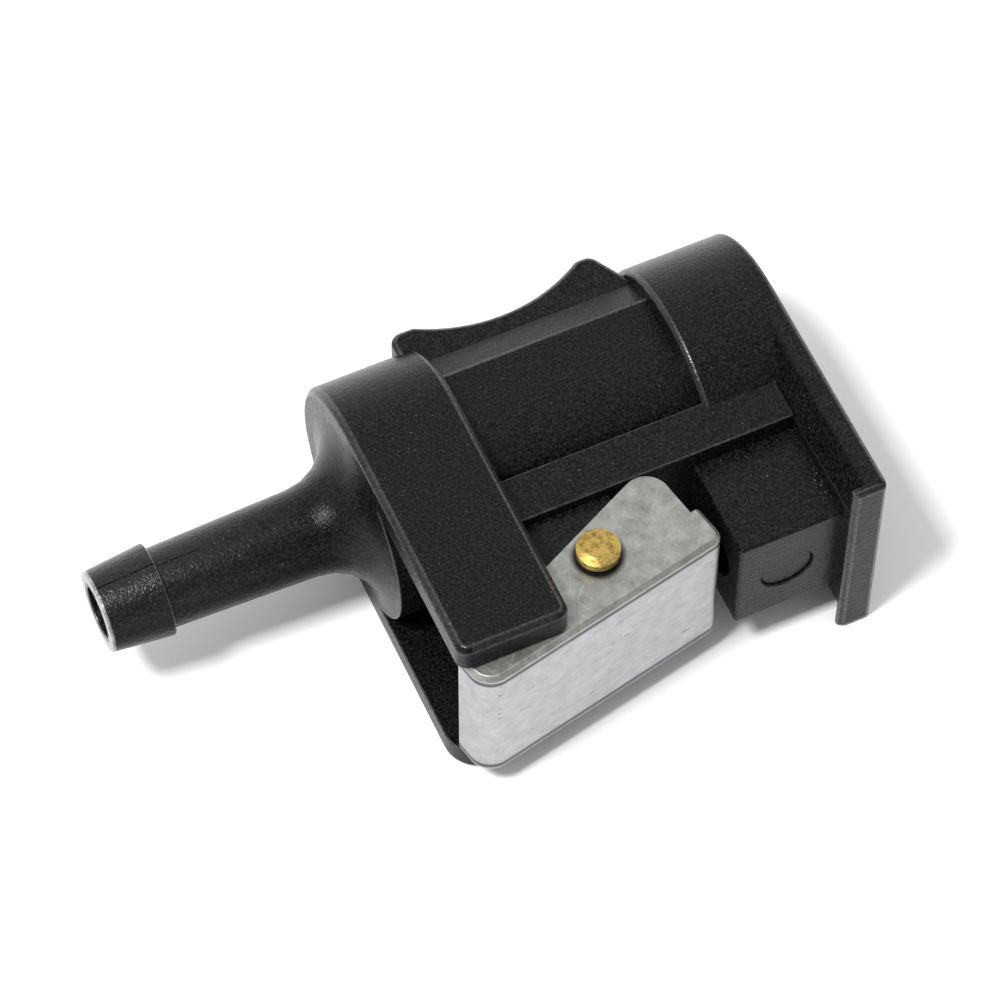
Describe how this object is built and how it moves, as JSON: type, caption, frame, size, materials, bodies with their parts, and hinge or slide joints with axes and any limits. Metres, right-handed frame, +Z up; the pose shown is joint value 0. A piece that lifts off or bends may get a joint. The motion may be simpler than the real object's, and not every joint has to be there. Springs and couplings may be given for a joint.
{
  "type": "fuel connector",
  "caption": "Quick-release fuel hose connector with hose barb, yoke, D-shaped mating flange, guide hole, sprung latch lever and spring-loaded check valve.",
  "frame": {"origin": "centre of the fuel port, in the plane of the mating face", "axes": "+X along the fuel axis out of the mating face, away from the hose barb; -Y towards the latch lever; +Z up as the connector lies on its side"},
  "size_m": [0.0701, 0.0397, 0.0246],
  "materials": {
    "moulding": "fine-grained black glass-filled nylon",
    "lever_steel": "satin, lightly scratched",
    "pin_brass": "dull, mottled",
    "spring_steel": "bright drawn wire",
    "insert": "smooth moulded",
    "seal": "fuel-resistant rubber"
  },
  "bodies": {
    "root": {"connector_body": "moulding", "pivot_pin": "pin_brass", "lever_spring": "spring_steel", "port_retainer": "insert", "port_seal": "seal", "valve_seat": "insert", "valve_spring": "spring_steel"},
    "lever": {"latch_lever": "lever_steel"},
    "valve": {"valve_poppet": "insert", "valve_seal": "seal"}
  },
  "joints": [
    {"name": "latch_pivot", "type": "hinge", "parent": "root", "child": "lever", "pos_m": [-0.0269, -0.0185, 0], "axis": [0, 0, -1], "range_deg": [0, 12], "stiffness_Nm_per_rad": 0.05, "springref_deg": -11.46, "deforming": ["lever_spring"]},
    {"name": "valve_slide", "type": "slide", "parent": "root", "child": "valve", "axis": [-1, 0, 0], "range_m": [0, 0.0035], "stiffness_N_per_m": 200, "springref_m": -0.005, "deforming": ["valve_spring"]}
  ]
}
